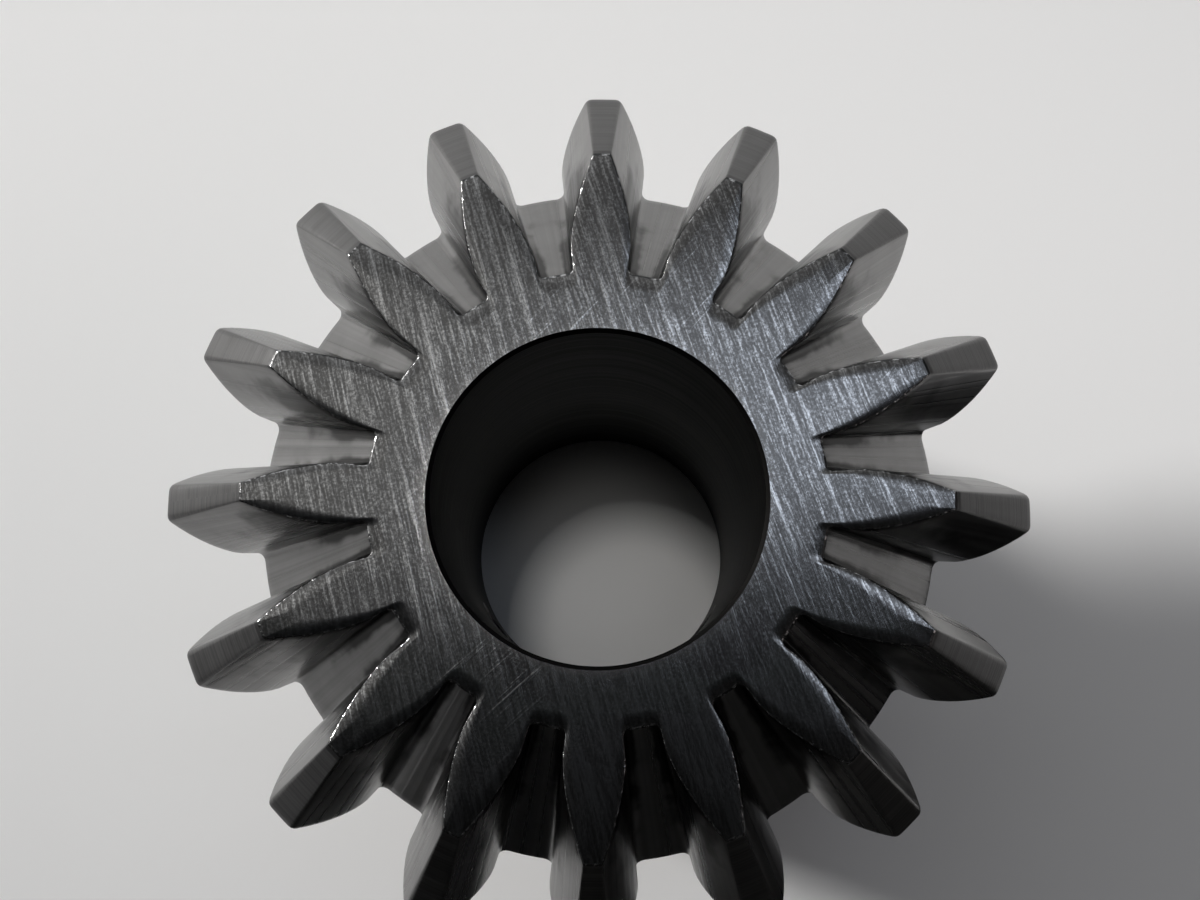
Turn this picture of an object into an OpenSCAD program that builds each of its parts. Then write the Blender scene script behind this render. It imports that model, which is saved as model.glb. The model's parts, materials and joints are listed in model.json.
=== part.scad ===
// Straight bevel gear for a right-angle drive, with a long plain-bored hub
// and two socket set screws that clamp the hub to its shaft.
// The gear stands on its hub end: Z runs along the bore, and the small ends
// (toes) of the teeth face up. One tooth is centred on each of +X and +Y.

/* [Teeth] */
// Module at the large end of the teeth
tooth_module = 2.5; // [2.4:0.02:2.6]
// Number of teeth
teeth = 16; // [15:1:17]
// Half angle of the pitch cone (45 when both gears of the pair are equal)
pitch_angle = 45; // [43:0.5:47]
// Pressure angle of the involute flanks
pressure_angle = 20; // [18:0.5:22]
// Half angle of the turned cone that the tooth tips lie on
face_angle = 46.4; // [45:0.1:48]
// Distance from the pitch cone's apex to the toe face
apex_to_toe = 13.7; // [13.2:0.1:14.2]
// Radius of the fillet in the corners of a tooth space
root_fillet = 0.45; // [0.3:0.05:0.6]

/* [Body] */
// Distance from the toe face to the hub end
overall_length = 31; // [28:0.5:36]
// Diameter of the shaft bore
bore_d = 16; // [12:0.5:17]
// Chamfer at the toe end of the bore
toe_chamfer = 0.2; // [0.1:0.05:0.5]
// Chamfer at the hub end of the bore
hub_chamfer = 0.5; // [0.2:0.1:0.8]
// Diameter of the hub
hub_d = 28; // [26:0.5:30]
// Radius of the flat back face outside the hub
back_face_r = 16.8; // [16.4:0.1:17]
// Chamfer around the hub end
hub_edge = 1; // [0.5:0.1:1.5]
// Fillet between the hub and the back face
hub_fillet = 1.2; // [0.5:0.1:1.5]

/* [Set screws] */
// Thread diameter of the set screws
screw_d = 5; // [4:0.5:6]
// Length of a set screw
screw_length = 5; // [4.5:0.1:5.2]
// Height of the set screws above the hub end
screw_height = 8; // [6:0.5:12]
// How far a screw's outer end lies below the hub surface at rest
screw_recess = 0.4; // [0.2:0.1:0.6]
// Width across the flats of the hexagon socket
socket_width = 2.5; // [2:0.1:2.6]
// Depth of the hexagon socket
socket_depth = 2.4; // [1.5:0.1:2.8]

/* [Hidden] */
$fn = 96;

// Where the two set screws point, as angles about the bore
screw_left_angle = 225;
screw_right_angle = 315;
// Running clearance around a set screw, on the radius
screw_clearance = 0.05;
addendum = tooth_module;
dedendum = 1.25 * tooth_module;
// How far the involute is drawn above the pitch cone, past every tooth tip
flank_reach = 1.45 * tooth_module;

pitch_r = teeth * tooth_module / 2;
apex_z = overall_length + apex_to_toe;
pitch_z = apex_z - pitch_r / tan(pitch_angle);
tip_r = pitch_r + addendum * cos(pitch_angle);
tip_z = pitch_z + addendum * sin(pitch_angle);
toe_tip_r = tip_r - (overall_length - tip_z) * tan(face_angle);
back_z = tip_z - (tip_r - back_face_r) * tan(pitch_angle);
bore_r = bore_d / 2;
hub_r = hub_d / 2;

// The teeth are laid out on the back cone, unrolled flat into part of a larger
// spur gear, and each point is then carried along a straight line to the apex.
flat_teeth = teeth / cos(pitch_angle);
flat_pitch_r = flat_teeth * tooth_module / 2;
flat_base_r = flat_pitch_r * cos(pressure_angle);
flat_root_r = flat_pitch_r - dedendum;
flat_reach_r = flat_pitch_r + flank_reach;
flat_fillet_r = flat_root_r + root_fillet;

// The tooth spaces are cut from below the back cone to above the toe face
cut_low = apex_z - back_z + 2;
cut_high = apex_to_toe - 2;

// Involute function of an angle in degrees, with its result in degrees
function involute(angle) = tan(angle) * 180 / PI - angle;

// Half angle of a tooth space of the flat gear at radius r
function space_half_angle(r) =
    90 / flat_teeth - involute(pressure_angle)
    + (r > flat_base_r ? involute(acos(flat_base_r / r)) : 0);

// A point of the flat gear, carried to the plane at distance cut_low from the apex
function to_cutting_plane(r, angle) =
    let (cone_r = r * cos(pitch_angle),
         cone_h = apex_z - pitch_z - (r - flat_pitch_r) * sin(pitch_angle),
         plane_r = cone_r * cut_low / cone_h,
         turn = angle * flat_teeth / teeth)
    [plane_r * cos(turn), plane_r * sin(turn)];

// Half of a tooth space: round the fillet from the root, then out along the flank
FILLET_STEPS = 4;
FLANK_STEPS = 8;
wall_angle = space_half_angle(flat_base_r);
fillet_angle = wall_angle - asin(root_fillet / flat_fillet_r);
function fillet_point(t) =
    let (direction = 180 + fillet_angle - t * (90 + fillet_angle - wall_angle),
         x = flat_fillet_r * cos(fillet_angle) + root_fillet * cos(direction),
         y = flat_fillet_r * sin(fillet_angle) + root_fillet * sin(direction))
    to_cutting_plane(norm([x, y]), atan2(y, x));
function flank_point(t) =
    let (r = flat_base_r + (flat_reach_r - flat_base_r) * t)
    to_cutting_plane(r, space_half_angle(r));
half_space = concat(
    [for (i = [0:FILLET_STEPS]) fillet_point(i / FILLET_STEPS)],
    [for (i = [0:FLANK_STEPS]) flank_point(i / FLANK_STEPS)]);
space_end = half_space[len(half_space) - 1] * 1.2;
space_outline = concat(
    [to_cutting_plane(flat_root_r, 0)],
    half_space,
    [space_end, [space_end[0], -space_end[1]]],
    [for (i = [len(half_space) - 1:-1:0]) [half_space[i][0], -half_space[i][1]]]);

module tooth_space() {
    translate([0, 0, apex_z - cut_low])
        linear_extrude(height = cut_low - cut_high, scale = cut_high / cut_low)
            polygon(space_outline);
}

// Turned outline of the gear before its teeth are cut
module blank() {
    rotate_extrude()
        difference() {
            polygon([
                [bore_r, 0], [hub_r - hub_edge, 0], [hub_r, hub_edge],
                [hub_r, back_z - hub_fillet], [hub_r + hub_fillet, back_z],
                [back_face_r, back_z], [tip_r, tip_z], [toe_tip_r, overall_length],
                [bore_r, overall_length]]);
            translate([hub_r + hub_fillet, back_z - hub_fillet])
                circle(r = hub_fillet);
        }
}

// Chamfered bore, cut along the whole length
module shaft_bore() {
    translate([0, 0, -1])
        cylinder(h = overall_length + 2, r = bore_r);
    translate([0, 0, -0.01])
        cylinder(h = hub_chamfer, r1 = bore_r + hub_chamfer, r2 = bore_r);
    translate([0, 0, overall_length - toe_chamfer])
        cylinder(h = toe_chamfer + 0.01, r1 = bore_r, r2 = bore_r + toe_chamfer);
}

// Moves a shape drawn along +Z so that it points out of the hub at an angle
module across_hub(angle, r) {
    rotate([0, 0, angle])
        translate([r, 0, screw_height])
            rotate([0, 90, 0])
                children();
}

module bevel_gear() {
    color([0.42, 0.43, 0.44])
        difference() {
            blank();
            for (i = [0:teeth - 1])
                rotate([0, 0, 90 + (i + 0.5) * 360 / teeth])
                    tooth_space();
            shaft_bore();
            for (angle = [screw_left_angle, screw_right_angle])
                across_hub(angle, bore_r / 2)
                    cylinder(h = hub_r, r = screw_d / 2 + screw_clearance);
        }
}

// Cup-point set screw with a hexagon socket, drawn with its socket end up
module set_screw() {
    edge = 0.5;
    cup_r = 0.3 * screw_d;
    difference() {
        union() {
            translate([0, 0, edge])
                cylinder(h = screw_length - 2 * edge, r = screw_d / 2);
            cylinder(h = edge, r1 = screw_d / 2 - edge, r2 = screw_d / 2);
            translate([0, 0, screw_length - edge])
                cylinder(h = edge, r1 = screw_d / 2, r2 = screw_d / 2 - edge);
        }
        translate([0, 0, -0.01])
            cylinder(h = 0.8, r1 = cup_r, r2 = 0.2);
        translate([0, 0, screw_length - socket_depth])
            cylinder(h = socket_depth + 1, r = socket_width / sqrt(3), $fn = 6);
    }
}

module placed_set_screw(angle) {
    color([0.13, 0.13, 0.14])
        across_hub(angle, hub_r - screw_recess - screw_length)
            set_screw();
}

module set_screw_left() { placed_set_screw(screw_left_angle); }
module set_screw_right() { placed_set_screw(screw_right_angle); }

bevel_gear();
set_screw_left();
set_screw_right();
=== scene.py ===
"""Straight bevel gear with two set screws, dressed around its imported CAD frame."""

import json
import math

import bmesh
import bpy
import numpy as np
from mathutils import Matrix, Vector


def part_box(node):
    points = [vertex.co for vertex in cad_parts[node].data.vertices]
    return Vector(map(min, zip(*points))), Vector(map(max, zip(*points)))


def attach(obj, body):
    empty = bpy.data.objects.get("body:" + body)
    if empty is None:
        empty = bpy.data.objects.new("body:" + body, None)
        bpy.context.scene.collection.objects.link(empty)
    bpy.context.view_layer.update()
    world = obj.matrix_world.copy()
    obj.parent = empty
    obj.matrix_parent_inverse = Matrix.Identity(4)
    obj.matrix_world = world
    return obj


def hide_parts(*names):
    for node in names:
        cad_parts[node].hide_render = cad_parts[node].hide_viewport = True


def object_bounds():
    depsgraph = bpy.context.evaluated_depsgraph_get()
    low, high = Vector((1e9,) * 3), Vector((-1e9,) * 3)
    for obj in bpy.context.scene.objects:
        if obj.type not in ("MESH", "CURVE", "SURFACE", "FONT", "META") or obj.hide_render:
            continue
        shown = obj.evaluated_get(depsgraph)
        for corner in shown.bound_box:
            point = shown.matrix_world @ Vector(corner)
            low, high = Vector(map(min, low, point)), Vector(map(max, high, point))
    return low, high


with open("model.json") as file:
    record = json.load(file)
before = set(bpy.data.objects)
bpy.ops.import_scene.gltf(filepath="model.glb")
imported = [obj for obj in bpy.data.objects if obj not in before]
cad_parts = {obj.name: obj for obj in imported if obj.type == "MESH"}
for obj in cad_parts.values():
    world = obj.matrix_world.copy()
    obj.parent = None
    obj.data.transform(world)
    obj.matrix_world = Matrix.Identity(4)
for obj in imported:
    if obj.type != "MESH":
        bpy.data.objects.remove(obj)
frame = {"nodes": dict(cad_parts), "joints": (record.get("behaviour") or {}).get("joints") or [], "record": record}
cad_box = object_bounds()

MM = 0.001


# ---------------------------------------------------------------- frame sizes

def mount(name):
    """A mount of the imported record."""
    return next(m for m in frame["record"]["mounts"] if m["name"] == name)


BOX_LOW, BOX_HIGH = (np.array(corner) / MM for corner in cad_box)
LENGTH = BOX_HIGH[2]
TIP_R = BOX_HIGH[0]
BORE_R = mount("shaft_bore")["dims"]["r_mm"]
APEX_TO_TOE = 13.7
APEX_Z = LENGTH + APEX_TO_TOE

# Teeth
TEETH = 16
MODULE = 2.5
PITCH_ANGLE = math.radians(45)
PRESSURE_ANGLE = math.radians(20)
FACE_ANGLE = math.radians(46.4)
ROOT_FILLET = 0.45
# How much smaller a tooth is at the toe than at the heel, as a share
TOE_SHRINK = 0.31
PITCH_R = TEETH * MODULE / 2
TIP_Z = APEX_Z - PITCH_R / math.tan(PITCH_ANGLE) + MODULE * math.sin(PITCH_ANGLE)
HALF_TOOTH = math.pi / TEETH

# Body
BACK_R = 16.8
HUB_R = 14.0
HUB_EDGE = 1.0
HUB_FILLET = 1.2
TOE_CHAMFER = 0.2
HUB_CHAMFER = 0.5
BACK_Z = TIP_Z - (TIP_R - BACK_R) * math.tan(PITCH_ANGLE)

# Set screws
SCREWS = {"left_screw": "set_screw_left", "right_screw": "set_screw_right"}
SCREW_R = 2.5
HOLE_R = 2.55
THREAD_PITCH = 0.8
THREAD_DEPTH = 0.4
SOCKET_WIDTH = 2.5
SOCKET_DEPTH = 2.4
CUP_R = 1.5
CUP_DEPTH = 0.8
SCREW_CHAMFER = 0.5
SCREW_PLAY = 0.02
# The countersunk mouth of a screw hole: depth below the hub, reach above it, and flare
MOUTH_BELOW, MOUTH_ABOVE, MOUTH_FLARE = 0.35, 0.6, 0.95
HOLE_SIDES = 64


def joint_axis(body):
    """The direction in which a screw backs out of the hub."""
    return Vector(next(j for j in frame["joints"] if j["child"] == body)["axis"]).normalized()


# ---------------------------------------------------------------- camera

CAMERA_LENS = 46.2
CAMERA_FROM_TOE = Vector((0.63, -9.95, 72.4)) * MM
CAMERA_AIM_ON_TOE = Vector((0.085, 2.215, 0)) * MM
CAMERA_ROLL = math.radians(0.74)


def make_camera():
    """A view down onto the toe face, from a little in front of the bore's axis."""
    data = bpy.data.cameras.new("camera")
    data.lens = CAMERA_LENS
    data.clip_start = 0.005
    data.clip_end = 10
    camera = bpy.data.objects.new("camera", data)
    toe_centre = Vector((0, 0, LENGTH * MM))
    place = toe_centre + CAMERA_FROM_TOE
    back = (place - toe_centre - CAMERA_AIM_ON_TOE).normalized()
    right = Vector((0, 1, 0)).cross(back).normalized()
    turn = Matrix((right, back.cross(right), back)).transposed().to_4x4()
    camera.matrix_world = Matrix.Translation(place) @ turn @ Matrix.Rotation(CAMERA_ROLL, 4, "Z")
    bpy.context.scene.collection.objects.link(camera)
    bpy.context.scene.camera = camera


# ---------------------------------------------------------------- tooth form

FLAT_TEETH = TEETH / math.cos(PITCH_ANGLE)
FLAT_PITCH_R = FLAT_TEETH * MODULE / 2
FLAT_BASE_R = FLAT_PITCH_R * math.cos(PRESSURE_ANGLE)
FLAT_ROOT_R = FLAT_PITCH_R - 1.25 * MODULE
FLAT_FILLET_R = FLAT_ROOT_R + ROOT_FILLET
INVOLUTE_AT_PITCH = math.tan(PRESSURE_ANGLE) - PRESSURE_ANGLE
SPACE_AT_BASE = math.pi / 2 / FLAT_TEETH - INVOLUTE_AT_PITCH
CONE_DEPTH = PITCH_R / math.tan(PITCH_ANGLE)
CORNER_AT_TOE, CORNER_AT_HEEL = 0.08, 0.26


def flat_radius(slope):
    """The flat gear's radius for the slope of a ray from the apex."""
    reach = CONE_DEPTH + FLAT_PITCH_R * math.sin(PITCH_ANGLE)
    return slope * reach / (math.cos(PITCH_ANGLE) + slope * math.sin(PITCH_ANGLE))


def back_depth(slope):
    """Distance below the apex at which a ray meets the back cone."""
    back = 1 / math.tan(PITCH_ANGLE)
    return (TIP_R + (APEX_Z - TIP_Z) * back) / (slope + back)


def face_depth(slope):
    """Distance below the apex at which a ray meets the face cone."""
    face = math.tan(FACE_ANGLE)
    return (TIP_R - (APEX_Z - TIP_Z) * face) / (slope - face)


def depth(slope, along):
    """Distance below the apex on a ray, from the toe (along 0) to the heel (along 1)."""
    return APEX_TO_TOE + (back_depth(slope) - APEX_TO_TOE) * along


def tip_slope(along):
    """The ray that meets the face cone at this place along the tooth."""
    low, high = 1.1, 1.4
    for _ in range(50):
        middle = (low + high) / 2
        if face_depth(middle) > depth(middle, along):
            low = middle
        else:
            high = middle
    return low


def polar(r, angle):
    """A point of the flat gear from its radius and its angle from the middle of a space."""
    return np.array((r * math.cos(angle), r * math.sin(angle)))


def involute_point(r):
    """The flank's point at a radius of the flat gear."""
    roll = math.sqrt(max((r / FLAT_BASE_R) ** 2 - 1, 0))
    return polar(r, SPACE_AT_BASE + roll - math.atan(roll))


ROOT_STEPS, FILLET_STEPS, WALL_STEPS, FLANK_STEPS, CORNER_STEPS, TIP_STEPS = 4, 5, 2, 9, 3, 2
FLANK_END = ROOT_STEPS + FILLET_STEPS + WALL_STEPS + FLANK_STEPS
HALF_COLUMNS = FLANK_END + CORNER_STEPS + TIP_STEPS
COLUMNS = 2 * HALF_COLUMNS * TEETH
SPACE_ON_CIRCLE = math.radians(5.7)


def half_outline(along):
    """The flat gear's outline from the middle of a space to the middle of a tooth."""
    fillet_angle = SPACE_AT_BASE - math.asin(ROOT_FILLET / FLAT_FILLET_R)
    points = [polar(FLAT_ROOT_R, fillet_angle * i / ROOT_STEPS) for i in range(ROOT_STEPS)]
    centre = polar(FLAT_FILLET_R, fillet_angle)
    for i in range(FILLET_STEPS + 1):
        turn = math.pi + fillet_angle - i / FILLET_STEPS * (math.pi / 2 + fillet_angle - SPACE_AT_BASE)
        points.append(centre + polar(ROOT_FILLET, turn))
    wall_start = math.sqrt(FLAT_FILLET_R ** 2 - ROOT_FILLET ** 2)
    for i in range(1, WALL_STEPS + 1):
        points.append(polar(wall_start + (FLAT_BASE_R - wall_start) * i / WALL_STEPS, SPACE_AT_BASE))
    tip_r = flat_radius(tip_slope(along))
    corner = CORNER_AT_TOE + (CORNER_AT_HEEL - CORNER_AT_TOE) * along
    for i in range(1, FLANK_STEPS + 1):
        points.append(involute_point(FLAT_BASE_R + (tip_r - corner - FLAT_BASE_R) * i / FLANK_STEPS))
    sharp = involute_point(tip_r)
    sharp_angle = math.atan2(sharp[1], sharp[0])
    middle_angle = math.pi / FLAT_TEETH
    land_angle = sharp_angle + corner / tip_r
    flank_end, land_start = points[-1], polar(tip_r, land_angle)
    for i in range(1, CORNER_STEPS + 1):
        t = i / CORNER_STEPS
        points.append((1 - t) ** 2 * flank_end + 2 * t * (1 - t) * sharp + t * t * land_start)
    for i in range(1, TIP_STEPS + 1):
        points.append(polar(tip_r, land_angle + (middle_angle - land_angle) * i / TIP_STEPS))
    return np.array(points)


def inset_outline(points, inset):
    """A half outline moved into the metal by a distance, kept square to both of its ends."""
    ahead = np.roll(points, -1, axis=0)
    behind = np.roll(points, 1, axis=0)
    along = ahead - behind
    along[0] = (0, 1)
    middle_angle = math.pi / FLAT_TEETH
    along[-1] = (-math.sin(middle_angle), math.cos(middle_angle))
    inwards = np.stack((-along[:, 1], along[:, 0]), axis=1)
    return points + inwards / np.linalg.norm(inwards, axis=1)[:, None] * inset


def tooth_ring(along, inset=0.0):
    """The (radius, angle, height) of every column at a place along the teeth, round the gear."""
    half = []
    for x, y in inset_outline(half_outline(along), inset / (1 - TOE_SHRINK * (1 - along))):
        r = math.hypot(x, y)
        cone_h = CONE_DEPTH - (r - FLAT_PITCH_R) * math.sin(PITCH_ANGLE)
        slope = r * math.cos(PITCH_ANGLE) / cone_h
        h = depth(slope, along)
        half.append((slope * h, HALF_TOOTH - math.atan2(y, x) * FLAT_TEETH / TEETH, APEX_Z - h))
    tooth = half[:-1] + [(r, -angle, z) for r, angle, z in half[:0:-1]]
    return [(r, math.pi / 2 + angle - 2 * HALF_TOOTH * i, z) for i in range(TEETH) for r, angle, z in tooth]


def circle_angles():
    """The columns' angles on a plain circle. Those of a tooth space reach a little into the
    teeth beside it, so that no face between a toothed ring and a circle folds over."""
    columns = (0, ROOT_STEPS + FILLET_STEPS, HALF_COLUMNS)
    half = HALF_TOOTH - np.interp(range(HALF_COLUMNS + 1), columns, (0, SPACE_ON_CIRCLE, HALF_TOOTH))
    tooth = [*half[:-1], *-half[:0:-1]]
    return [math.pi / 2 + angle - 2 * HALF_TOOTH * i for i in range(TEETH) for angle in tooth]


def blend_ring(ring, radius, height, share, evenness):
    """A ring part of the way from a toothed ring to a plain circle."""
    made = []
    for (r, angle, z), circle_angle in zip(ring, circle_angles()):
        turned = angle + (circle_angle - angle) * evenness
        made.append((r + (radius - r) * share, turned, z + (height - z) * share))
    return made


def circle_ring(radius, height):
    """A plain circle of points."""
    return [(radius, angle, height) for angle in circle_angles()]


# ---------------------------------------------------------------- gear mesh

TOE, TOOTH, TURNED, BORE, EDGE, THREAD = range(6)
TOE_EDGE, HEEL_EDGE = 0.05, 0.16
ARC_SHARE = 1 - math.sqrt(0.5)
STATIONS = [0.07, 0.16, 0.27, 0.39, 0.51, 0.63, 0.75, 0.86, 0.94]


def plain(kind):
    """One surface for a whole ring of columns."""
    return [kind] * COLUMNS


def tooth_kinds():
    """The surface of each column along the teeth: cut flanks and roots, and turned tip lands."""
    lands = range(FLANK_END + 1, 2 * HALF_COLUMNS - FLANK_END - 1)
    return [TURNED if i % (2 * HALF_COLUMNS) in lands else TOOTH for i in range(COLUMNS)]


def gear_rings():
    """Every ring of points, from the bore's toe end over the teeth to the bore's hub end,
    each with the surface that follows it."""
    tooth_length = back_depth(1.0) - APEX_TO_TOE
    toe_share, heel_share = TOE_EDGE / tooth_length, HEEL_EDGE / tooth_length
    mouth_r = BORE_R + TOE_CHAMFER
    toe = tooth_ring(0, TOE_EDGE)
    rings = [(circle_ring(BORE_R, LENGTH - TOE_CHAMFER), plain(BORE)),
             (circle_ring(mouth_r, LENGTH), plain(TOE))]
    for share, evenness in ((0.75, 0.9), (0.5, 0.7), (0.25, 0.5)):
        rings.append((blend_ring(toe, mouth_r, LENGTH, share, evenness), plain(TOE)))
    rings.append((toe, plain(EDGE)))
    rings.append((tooth_ring(toe_share * ARC_SHARE, TOE_EDGE * ARC_SHARE), plain(EDGE)))
    for along in [toe_share] + STATIONS + [1 - heel_share]:
        rings.append((tooth_ring(along), tooth_kinds()))
    rings.append((tooth_ring(1 - heel_share * ARC_SHARE, HEEL_EDGE * ARC_SHARE), plain(TURNED)))
    heel = tooth_ring(1, HEEL_EDGE)
    rings.append((heel, plain(TURNED)))
    for share, evenness in ((0.3, 0.5), (0.65, 0.8), (0.96, 1), (1, 1)):
        rings.append((blend_ring(heel, BACK_R, BACK_Z, share, evenness), plain(TURNED)))
    rings.append((circle_ring(BACK_R - 0.3, BACK_Z), plain(TURNED)))
    for i in range(9):
        turn = math.pi / 2 * i / 8
        r = HUB_R + HUB_FILLET * (1 - math.sin(turn))
        rings.append((circle_ring(r, BACK_Z - HUB_FILLET * (1 - math.cos(turn))), plain(TURNED)))
    straight_top = BACK_Z - HUB_FILLET
    for i in range(1, 17):
        height = straight_top + (HUB_EDGE - straight_top) * i / 16
        rings.append((circle_ring(HUB_R, height), plain(TURNED)))
    for r in (HUB_R - HUB_EDGE, (HUB_R + BORE_R) / 2, BORE_R + HUB_CHAMFER):
        rings.append((circle_ring(r, 0), plain(TURNED)))
    top = LENGTH - TOE_CHAMFER
    for i in range(20):
        rings.append((circle_ring(BORE_R, HUB_CHAMFER + (top - HUB_CHAMFER) * i / 20), plain(BORE)))
    return rings


GEAR_RINGS = gear_rings()


def new_object(name, mesh):
    """An object for a mesh, in the scene."""
    piece = bpy.data.objects.new(name, mesh)
    bpy.context.scene.collection.objects.link(piece)
    return piece


def ring_mesh(name, rings, closed):
    """A mesh of quads between neighbouring rings of (radius, angle, height) points."""
    count = len(rings[0][0])
    points = [(r * MM * math.cos(a), r * MM * math.sin(a), z * MM) for ring, _ in rings for r, a, z in ring]
    faces, kinds = [], []
    last = len(rings) if closed else len(rings) - 1
    for i in range(last):
        below, above = i * count, (i + 1) % len(rings) * count
        for j in range(count):
            k = (j + 1) % count
            faces.append((below + j, below + k, above + k, above + j))
            kinds.append(rings[i][1][j])
    mesh = bpy.data.meshes.new(name)
    mesh.from_pydata(points, [], faces)
    mesh.polygons.foreach_set("material_index", kinds)
    mesh.update()
    return mesh


def add_shade_mask(mesh):
    """Marks the corners of the tooth spaces towards the toe, where the teeth get painted shade."""
    first = next(i for i, (_, kinds) in enumerate(GEAR_RINGS) if TOOTH in kinds)
    last = first + len(STATIONS) + 1
    # painted shade mask: full in the root corners near the toe, fading towards the heel and up the flanks
    painted_shade = [0.0] * len(mesh.vertices)
    for ring in range(first - 1, last + 1):
        near_toe = max(0, 1 - (ring - first) / (last - first) / 0.85)
        for column in range(COLUMNS):
            place = column % (2 * HALF_COLUMNS)
            place = min(place, 2 * HALF_COLUMNS - place)
            rise = min(1, place / ROOT_STEPS) ** 2
            fall = min(1, max(0, (FLANK_END - place) / FLANK_STEPS * 1.8))
            painted_shade[ring * COLUMNS + column] = rise * fall * near_toe
    mesh.attributes.new("painted_shade", "FLOAT", "POINT").data.foreach_set("value", painted_shade)


def apply_modifiers(piece):
    """Makes the piece's modifiers part of its mesh."""
    graph = bpy.context.evaluated_depsgraph_get()
    mesh = bpy.data.meshes.new_from_object(piece.evaluated_get(graph))
    piece.modifiers.clear()
    piece.data = mesh


def smooth(piece, sharp_degrees=32):
    """Smooth shading that keeps flat faces flat and corners crisp."""
    mesh = piece.data
    mesh.polygons.foreach_set("use_smooth", [True] * len(mesh.polygons))
    mesh.set_sharp_from_angle(angle=math.radians(sharp_degrees))
    normals = piece.modifiers.new("normals", "WEIGHTED_NORMAL")
    normals.keep_sharp = True


# ---------------------------------------------------------------- node helpers

def node(tree, kind, inputs=None, **settings):
    """A shader node; an input is a value, or another node's output to link."""
    made = tree.nodes.new(kind)
    for name, value in settings.items():
        setattr(made, name, value)
    for name, value in (inputs or {}).items():
        if isinstance(value, bpy.types.NodeSocket):
            tree.links.new(value, made.inputs[name])
        else:
            made.inputs[name].default_value = value
    return made


def maths(tree, operation, a, b=0.0, c=0.0):
    """The output of a Math node."""
    return node(tree, "ShaderNodeMath", {0: a, 1: b, 2: c}, operation=operation).outputs[0]


def spread(tree, value, low, high, to_low=0.0, to_high=1.0):
    """A value's range low..high carried smoothly to another range."""
    inputs = {"Value": value, "From Min": low, "From Max": high, "To Min": to_low, "To Max": to_high}
    return node(tree, "ShaderNodeMapRange", inputs, interpolation_type="SMOOTHSTEP").outputs["Result"]


def stretched_noise(tree, vector, scale, detail=2.0, seed=0.0, roughness=0.5):
    """Noise whose scale differs along the three axes of a vector."""
    scaled = node(tree, "ShaderNodeVectorMath", {0: vector, 1: scale}, operation="MULTIPLY").outputs[0]
    inputs = {"Vector": scaled, "W": seed, "Scale": 1.0, "Detail": detail, "Roughness": roughness}
    return node(tree, "ShaderNodeTexNoise", inputs, noise_dimensions="4D").outputs["Fac"]


def mix_colour(tree, factor, a, b):
    """A colour between a and b."""
    made = node(tree, "ShaderNodeMix", data_type="RGBA")
    for index, value in ((0, factor), (6, a), (7, b)):
        if isinstance(value, bpy.types.NodeSocket):
            tree.links.new(value, made.inputs[index])
        else:
            made.inputs[index].default_value = value
    return made.outputs[2]


def grey(value, warmth=0.0):
    """An opaque grey, a little warmer or cooler."""
    return (value * (1 + warmth), value, value * (1 - warmth), 1)


def metal(name):
    """A material with a metal shader: (material, its tree, its shader)."""
    material = bpy.data.materials.new(name)
    material.use_nodes = True
    tree = material.node_tree
    shader = tree.nodes["Principled BSDF"]
    shader.inputs["Metallic"].default_value = 1.0
    return material, tree, shader


def finish_metal(tree, shader, colour, roughness, height, depth_mm):
    """Links colour, roughness and a bump of that depth to the shader."""
    bump = node(tree, "ShaderNodeBump", {"Height": height, "Distance": depth_mm * MM, "Strength": 1.0})
    tree.links.new(colour, shader.inputs["Base Color"])
    tree.links.new(roughness, shader.inputs["Roughness"])
    tree.links.new(bump.outputs["Normal"], shader.inputs["Normal"])


def place_in_mm(tree):
    """The point on the surface, in the row frame, in millimetres."""
    place = node(tree, "ShaderNodeTexCoord").outputs["Object"]
    return node(tree, "ShaderNodeVectorMath", {0: place, "Scale": 1 / MM}, operation="SCALE").outputs[0]


def split(tree, vector):
    """The three parts of a vector."""
    return node(tree, "ShaderNodeSeparateXYZ", {0: vector}).outputs


def join(tree, x, y, z):
    """A vector from its three parts."""
    return node(tree, "ShaderNodeCombineXYZ", {0: x, 1: y, 2: z}).outputs[0]


# ---------------------------------------------------------------- materials

GRIND_REACH = 190.0
GRIND_TILT = math.radians(17.5)


def grinding_grain(tree, place):
    """Millimetres across and along the grinding marks, which fan out from a far point."""
    x, y, _ = split(tree, place)
    across = maths(tree, "ADD", x, GRIND_REACH * math.sin(GRIND_TILT))
    ahead = maths(tree, "SUBTRACT", GRIND_REACH * math.cos(GRIND_TILT), y)
    turn = maths(tree, "ARCTAN2", across, ahead)
    length = maths(tree, "SQRT", maths(tree, "ADD", maths(tree, "MULTIPLY", across, across),
                                       maths(tree, "MULTIPLY", ahead, ahead)))
    return join(tree, maths(tree, "MULTIPLY", turn, GRIND_REACH), length, 0.0)


def turned_grain(tree, place):
    """Radius, height and a little of the angle, for rings left by a lathe."""
    x, y, z = split(tree, place)
    radius = maths(tree, "SQRT", maths(tree, "ADD", maths(tree, "MULTIPLY", x, x),
                                       maths(tree, "MULTIPLY", y, y)))
    return join(tree, radius, z, maths(tree, "ARCTAN2", y, x))


def cut_grain(tree, place):
    """Directions from the pitch apex, for streaks that a cutter leaves along the teeth."""
    away = node(tree, "ShaderNodeVectorMath", {0: place, 1: (0, 0, APEX_Z)}, operation="SUBTRACT").outputs[0]
    return node(tree, "ShaderNodeVectorMath", {0: away}, operation="NORMALIZE").outputs[0]


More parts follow.
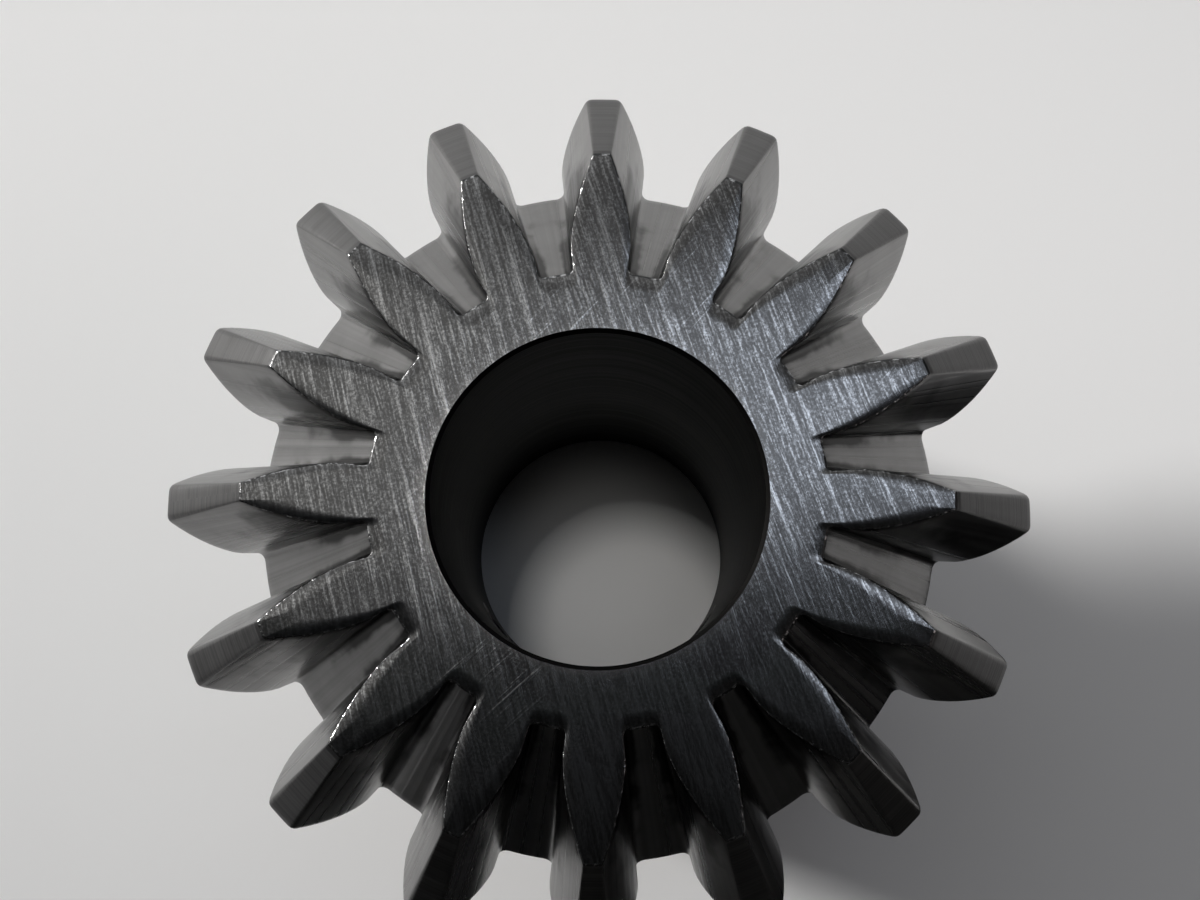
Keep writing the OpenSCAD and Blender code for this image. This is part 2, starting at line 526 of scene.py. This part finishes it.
def ground_steel():
    """The toe face: steel ground by hand, with coarse scratches one way and a few across."""
    material, tree, shader = metal("ground_steel")
    place = place_in_mm(tree)
    grain = grinding_grain(tree, place)
    coarse = spread(tree, stretched_noise(tree, grain, (2.2, 0.08, 0), 2.0, 1.0), 0.52, 0.68)
    medium = spread(tree, stretched_noise(tree, grain, (5.5, 0.22, 0), 2.0, 2.0), 0.44, 0.68)
    fine = spread(tree, stretched_noise(tree, grain, (10.0, 1.1, 0), 2.0, 3.0, 0.6), 0.3, 0.7)
    speckle = spread(tree, stretched_noise(tree, place, (7.0, 7.0, 7.0), 3.0, 7.0, 0.75), 0.34, 0.66)
    crossed = node(tree, "ShaderNodeVectorRotate", {"Vector": grain, "Angle": math.radians(-62)},
                   rotation_type="Z_AXIS").outputs[0]
    patches = spread(tree, stretched_noise(tree, place, (0.16, 0.16, 0.16), 1.0, 5.0), 0.5, 0.62)
    cross = spread(tree, stretched_noise(tree, crossed, (4.5, 0.16, 0), 2.0, 4.0), 0.58, 0.74)
    cross = maths(tree, "MULTIPLY", cross, patches)
    marks = maths(tree, "ADD", maths(tree, "MULTIPLY", coarse, 0.3), maths(tree, "MULTIPLY", medium, 0.3))
    marks = maths(tree, "ADD", marks, maths(tree, "MULTIPLY", fine, 0.35))
    marks = maths(tree, "ADD", marks, maths(tree, "MULTIPLY", cross, 0.3))
    tone = maths(tree, "ADD", marks, maths(tree, "MULTIPLY", speckle, 0.42))
    tone = spread(tree, tone, 0.25, 1.2)
    colour = mix_colour(tree, tone, grey(0.13, 0.02), grey(0.62))
    roughness = spread(tree, tone, 0.0, 1.0, 0.21, 0.14)
    finish_metal(tree, shader, colour, roughness, marks, 0.0058)
    shader.inputs["Anisotropic"].default_value = 0.6
    across = join(tree, math.cos(GRIND_TILT), math.sin(GRIND_TILT), 0.0)
    tree.links.new(across, shader.inputs["Tangent"])
    return material


def cut_steel():
    """The teeth: smooth flanks and roots with streaks along the cut, and painted shade darkening the corners
    towards the toe.
    """
    material, tree, shader = metal("cut_steel")
    place = place_in_mm(tree)
    grain = cut_grain(tree, place)
    streaks = spread(tree, stretched_noise(tree, grain, (60, 60, 60), 2.0, 1.0, 0.6), 0.32, 0.68)
    broad = stretched_noise(tree, grain, (16, 16, 16), 1.0, 2.0)
    stains = spread(tree, stretched_noise(tree, place, (0.5, 0.5, 0.5), 3.0, 3.0), 0.35, 0.75)
    tone = maths(tree, "ADD", maths(tree, "MULTIPLY", streaks, 0.6), maths(tree, "MULTIPLY", broad, 0.4))
    colour = mix_colour(tree, tone, grey(0.15, 0.01), grey(0.3, 0.01))
    colour = mix_colour(tree, maths(tree, "MULTIPLY", stains, 0.3), colour, grey(0.12, 0.02))
    # painted shade: the marked corners of the tooth spaces near the toe are darkened almost to black, with a
    # ragged edge from the stains
    painted_shade = node(tree, "ShaderNodeAttribute", attribute_name="painted_shade").outputs["Fac"]
    ragged = maths(tree, "ADD", painted_shade, maths(tree, "MULTIPLY", stains, 0.35))
    shade_amount = spread(tree, ragged, 0.3, 0.75, 0.0, 0.92)
    colour = mix_colour(tree, shade_amount, colour, grey(0.02, 0.03))
    roughness = spread(tree, streaks, 0.0, 1.0, 0.27, 0.36)
    finish_metal(tree, shader, colour, roughness, tone, 0.012)
    return material


def threaded_steel():
    """The walls of the screw holes: dark, with thread rings in the bump."""
    material, tree, shader = metal("threaded_steel")
    place = place_in_mm(tree)
    x, y, _ = split(tree, place)
    radius = maths(tree, "SQRT", maths(tree, "ADD", maths(tree, "MULTIPLY", x, x),
                                       maths(tree, "MULTIPLY", y, y)))
    thread = maths(tree, "PINGPONG", radius, THREAD_PITCH / 2)
    grain = stretched_noise(tree, place, (5, 5, 5), 3.0, 1.0)
    colour = mix_colour(tree, spread(tree, grain, 0.3, 0.7), grey(0.1, 0.02), grey(0.25, 0.01))
    roughness = spread(tree, grain, 0.3, 0.7, 0.3, 0.45)
    finish_metal(tree, shader, colour, roughness, thread, 1.0)
    return material


def turned_steel():
    """Back cone, hub and tip lands: fine rings left by the lathe."""
    material, tree, shader = metal("turned_steel")
    place = place_in_mm(tree)
    rings = stretched_noise(tree, turned_grain(tree, place), (9, 9, 0.3), 3.0, 1.0, 0.6)
    stains = spread(tree, stretched_noise(tree, place, (0.35, 0.35, 0.35), 4.0, 2.0), 0.4, 0.75)
    colour = mix_colour(tree, spread(tree, rings, 0.3, 0.7), grey(0.13, 0.01), grey(0.19, 0.01))
    colour = mix_colour(tree, maths(tree, "MULTIPLY", stains, 0.3), colour, grey(0.09, 0.03))
    roughness = spread(tree, rings, 0.3, 0.7, 0.28, 0.4)
    finish_metal(tree, shader, colour, roughness, rings, 0.015)
    return material


def painted_dark_bore():
    """The bore: painted near-black shade, with faint rings."""
    material, tree, shader = metal("painted_dark_bore")
    rings = stretched_noise(tree, turned_grain(tree, place_in_mm(tree)), (5, 5, 0.4), 3.0, 1.0, 0.6)
    # painted shade: the bore wall's colour is kept near black
    colour = mix_colour(tree, rings, grey(0.004, 0.05), grey(0.012, 0.03))
    roughness = spread(tree, rings, 0.3, 0.7, 0.5, 0.62)
    finish_metal(tree, shader, colour, roughness, rings, 0.01)
    return material


def worn_edge_steel():
    """Bright metal on the sharp edges round the toe face, where burrs were knocked off."""
    material, tree, shader = metal("worn_edge_steel")
    patches = stretched_noise(tree, place_in_mm(tree), (3.2, 3.2, 3.2), 3.0, 1.0, 0.6)
    colour = mix_colour(tree, spread(tree, patches, 0.5, 0.6), grey(0.06), grey(0.55))
    roughness = spread(tree, patches, 0.4, 0.6, 0.35, 0.2)
    finish_metal(tree, shader, colour, roughness, patches, 0.05)
    return material


def black_oxide():
    """The set screws: blackened steel, rubbed a little."""
    material, tree, shader = metal("black_oxide")
    place = place_in_mm(tree)
    rub = spread(tree, stretched_noise(tree, place, (1.2, 1.2, 1.2), 4.0, 1.0, 0.6), 0.45, 0.75)
    grain = stretched_noise(tree, place, (14, 14, 14), 2.0, 2.0)
    colour = mix_colour(tree, rub, grey(0.035, -0.03), grey(0.16, 0.02))
    roughness = spread(tree, grain, 0.3, 0.7, 0.32, 0.5)
    finish_metal(tree, shader, colour, roughness, grain, 0.006)
    return material


# ---------------------------------------------------------------- pieces

def capped_mesh(name, rings, kind=0):
    """A closed mesh of rings of points, with a flat cap on each end ring."""
    count = len(rings[0])
    mesh = ring_mesh(name, [(ring, [kind] * count) for ring in rings], closed=False)
    maker = bmesh.new()
    maker.from_mesh(mesh)
    maker.verts.ensure_lookup_table()
    last = (len(rings) - 1) * count
    maker.faces.new([maker.verts[i] for i in range(count)])
    maker.faces.new([maker.verts[last + i] for i in reversed(range(count))])
    bmesh.ops.recalc_face_normals(maker, faces=maker.faces)
    for face in maker.faces:
        face.material_index = kind
    maker.to_mesh(mesh)
    maker.free()
    return mesh


def across_hub(axis):
    """The transform that carries +Z to a screw's axis, through the bore's axis."""
    middle = (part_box(SCREWS["left_screw"])[0].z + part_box(SCREWS["left_screw"])[1].z) / 2
    turn = axis.to_track_quat("Z", "Y").to_matrix().to_4x4()
    return Matrix.Translation((0, 0, middle)) @ turn


def cut_screw_holes(gear):
    """Cuts the two screw holes, each with a countersunk mouth in the hub."""
    for body in SCREWS:
        profile = [(HOLE_R, BORE_R / 2), (HOLE_R, HUB_R - MOUTH_BELOW),
                   (HOLE_R + MOUTH_FLARE, HUB_R + MOUTH_ABOVE)]
        turns = [2 * math.pi * i / HOLE_SIDES for i in range(HOLE_SIDES)]
        rings = [[(r, turn, z) for turn in turns] for r, z in profile]
        cutter = new_object("cutter", capped_mesh("cutter", rings, THREAD))
        cutter.matrix_world = across_hub(joint_axis(body))
        cut = gear.modifiers.new("hole", "BOOLEAN")
        cut.operation = "DIFFERENCE"
        cut.solver = "EXACT"
        cut.object = cutter
        bpy.context.view_layer.update()
        apply_modifiers(gear)
        bpy.data.objects.remove(cutter)


def make_gear():
    """The toothed body with its hub and bore, in place of the CAD solid."""
    mesh = ring_mesh("gear_body", GEAR_RINGS, closed=True)
    add_shade_mask(mesh)
    gear = new_object("gear_body", mesh)
    for material in (ground_steel(), cut_steel(), turned_steel(), painted_dark_bore(), worn_edge_steel(),
                     threaded_steel()):
        mesh.materials.append(material)
    cut_screw_holes(gear)
    smooth(gear)
    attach(gear, "gear")
    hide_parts("bevel_gear")


def screw_radius(height, length, turn):
    """The thread's radius at a height and a turn about the screw, in mm and radians."""
    phase = (height / THREAD_PITCH - turn / (2 * math.pi)) % 1
    ridge = min(1, max(0, 1.25 - 2.5 * abs(phase - 0.5)))
    outside = SCREW_R - SCREW_PLAY
    end = min(height, length - height)
    return min(outside - THREAD_DEPTH * (1 - ridge), outside - max(0, SCREW_CHAMFER - end))


def hexagon_radius(turn):
    """The distance from the middle of the socket to its wall, with slightly rounded corners."""
    side = (turn + math.pi / 6) % (math.pi / 3) - math.pi / 6
    return min(SOCKET_WIDTH / 2 / math.cos(side), 0.97 * SOCKET_WIDTH / math.sqrt(3))


def screw_mesh(name, length):
    """A socket set screw along +Z from 0: cup point below, hexagon socket on top."""
    count, steps = 96, 80
    turns = [2 * math.pi * i / count for i in range(count)]
    rings = [[(0.02, a, CUP_DEPTH) for a in turns], [(CUP_R * 0.5, a, CUP_DEPTH * 0.55) for a in turns],
             [(CUP_R, a, 0.03) for a in turns], [(CUP_R + 0.06, a, 0) for a in turns]]
    for i in range(steps + 1):
        height = length * i / steps
        rings.append([(screw_radius(height, length, a), a, height) for a in turns])
    for inset, height in ((0.16, length), (0.04, length - 0.08), (0, length - 0.25), (0, length - 1.2),
                          (0, length - SOCKET_DEPTH)):
        rings.append([(hexagon_radius(a) + inset, a, height) for a in turns])
    rings.append([(0.5, a, length - SOCKET_DEPTH - 0.25) for a in turns])
    rings.append([(0.02, a, length - SOCKET_DEPTH - 0.4) for a in turns])
    return capped_mesh(name, rings)


def make_screws():
    """The two set screws, each along its joint's axis, in place of its CAD solid."""
    material = black_oxide()
    for body, cad_name in SCREWS.items():
        axis = joint_axis(body)
        reach = [v.co.dot(axis) for v in frame["nodes"][cad_name].data.vertices]
        length = (max(reach) - min(reach)) / MM
        mesh = screw_mesh(cad_name + "_threaded", length)
        mesh.materials.append(material)
        screw = new_object(cad_name + "_threaded", mesh)
        mesh.transform(across_hub(axis) @ Matrix.Translation((0, 0, min(reach))))
        smooth(screw, 40)
        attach(screw, body)
        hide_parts(cad_name)


# ---------------------------------------------------------------- stage

WINDOW_SIDE = Vector((-0.375, 0.927, 0)).normalized()
ROOM_DARK = (0.008, 0.0085, 0.009, 1)
ROOM_LIGHT = (0.75, 0.76, 0.77, 1)
BEAM_CENTRE = Vector((-0.044, 0.06, 0))
BEAM_FROM = Vector((-0.79, 0.35, 0.5)).normalized()
BEAM_REACH = 0.65
PANEL_HEIGHT = LENGTH * MM + 0.55
PANEL_TOP = 0.164
PANEL_SIDE = 0.3
BORE_BEAM_RUN, BORE_BEAM_CONE = 16, 1.64
FLAG_STEPS = 20


def make_floor():
    """A plain pale floor under the gear."""
    mesh = bpy.data.meshes.new("floor")
    half = 1.5
    corners = [(-half, -half, 0), (half, -half, 0), (half, half, 0), (-half, half, 0)]
    mesh.from_pydata(corners, [], [(0, 1, 2, 3)])
    material = bpy.data.materials.new("floor")
    material.use_nodes = True
    shader = material.node_tree.nodes["Principled BSDF"]
    shader.inputs["Base Color"].default_value = (0.8, 0.8, 0.8, 1)
    shader.inputs["Roughness"].default_value = 0.7
    mesh.materials.append(material)
    new_object("floor", mesh)


def point_at(light, place, aim):
    """Puts a light at a place, facing another, in the scene."""
    light.location = place
    light.rotation_euler = (Vector(aim) - Vector(place)).to_track_quat("-Z", "Y").to_euler()
    bpy.context.scene.collection.objects.link(light)


def area_light(name, place, aim, size, radiance, colour):
    """A soft rectangular light of that width and height, pointing at another place."""
    data = bpy.data.lights.new(name, "AREA")
    data.shape = "RECTANGLE"
    data.size, data.size_y = size
    data.energy = radiance * math.pi * size[0] * size[1]
    data.color = colour
    light = bpy.data.objects.new(name, data)
    point_at(light, place, aim)
    return light


def spot_light(name, place, aim, size, cone_degrees, power, colour):
    """A light with a soft-edged beam."""
    data = bpy.data.lights.new(name, "SPOT")
    data.shadow_soft_size = size
    data.spot_size = math.radians(cone_degrees)
    data.spot_blend = 1.0
    data.energy = power
    data.color = colour
    light = bpy.data.objects.new(name, data)
    point_at(light, place, aim)
    return light


def make_world():
    """A dim room that is lighter on the window's side."""
    world = bpy.data.worlds.new("studio")
    world.use_nodes = True
    tree = world.node_tree
    direction = node(tree, "ShaderNodeTexCoord").outputs["Generated"]
    to_window = node(tree, "ShaderNodeVectorMath", {0: direction, 1: WINDOW_SIDE}, operation="DOT_PRODUCT")
    glow = spread(tree, to_window.outputs["Value"], -0.02, 1.0)
    colour = mix_colour(tree, glow, ROOM_DARK, ROOM_LIGHT)
    tree.links.new(colour, tree.nodes["Background"].inputs["Color"])
    bpy.context.scene.world = world


def make_flag(name, low_degrees, high_degrees, profile):
    """A dark curved card in front of the gear, which only its reflections see."""
    steps = FLAG_STEPS
    sweep = high_degrees - low_degrees
    turns = [math.radians(low_degrees + sweep * i / steps) for i in range(steps + 1)]
    points = [(r * MM * math.cos(a), r * MM * math.sin(a), z * MM) for r, z in profile for a in turns]
    mesh = bpy.data.meshes.new(name)
    mesh.from_pydata(points, [], [(i, i + 1, i + steps + 2, i + steps + 1) for i in range(steps)])
    material = bpy.data.materials.new(name)
    material.use_nodes = True
    shader = material.node_tree.nodes["Principled BSDF"]
    shader.inputs["Base Color"].default_value = (0.01, 0.01, 0.01, 1)
    shader.inputs["Roughness"].default_value = 1.0
    mesh.materials.append(material)
    flag = new_object(name, mesh)
    for seen_by in ("camera", "diffuse", "transmission", "volume_scatter", "shadow"):
        setattr(flag, "visible_" + seen_by, False)


def make_lights():
    """A soft beam from the upper left, dim panels overhead that the toe face mirrors, a fill
    from the right, two narrow beams down the bore, and dark cards by the front teeth."""
    make_world()
    bpy.context.scene.view_settings.view_transform = "Standard"
    place = BEAM_CENTRE + BEAM_FROM * BEAM_REACH
    key = spot_light("key", place, BEAM_CENTRE, 0.11, 20.2, 82, (1, 0.985, 0.965))
    key.scale = (1, BEAM_FROM.z, 1)
    for name, x, low_edge, radiance, colour in (("panel_left", -0.15, 0.036, 0.5, (1, 0.99, 0.96)),
                                                ("panel_right", 0.15, 0.066, 1.33, (0.86, 0.95, 1.1))):
        y = (low_edge + PANEL_TOP) / 2
        size = (PANEL_SIDE, PANEL_TOP - low_edge)
        area_light(name, (x, y, PANEL_HEIGHT), (x, y, 0), size, radiance, colour)
    area_light("fill", (0.35, -0.1, 0.3), (0.03, 0, 0), (0.3, 0.3), 0.43, (1, 0.88, 0.86))
    mouth = Vector((0, 0, LENGTH)) * MM
    for name, shift, blend, power in (("down_the_bore", 1, 0.35, 2.05), ("bore_fill", 0, 1, 0.47)):
        down_bore = Vector((2.3 * shift, -4.5 * shift, -LENGTH)) * MM
        place = mouth - down_bore * BORE_BEAM_RUN
        beam = spot_light(name, place, mouth, 0.002, BORE_BEAM_CONE, power, (1, 0.98, 0.95))
        beam.data.spot_blend = blend
    make_flag("flag_wall", -128, -22, ((45, 2), (45, 120)))
    make_flag("flag_floor", -112, 8, ((27, 1), (46, 1)))


make_camera()
make_gear()
make_screws()
make_floor()
make_lights()
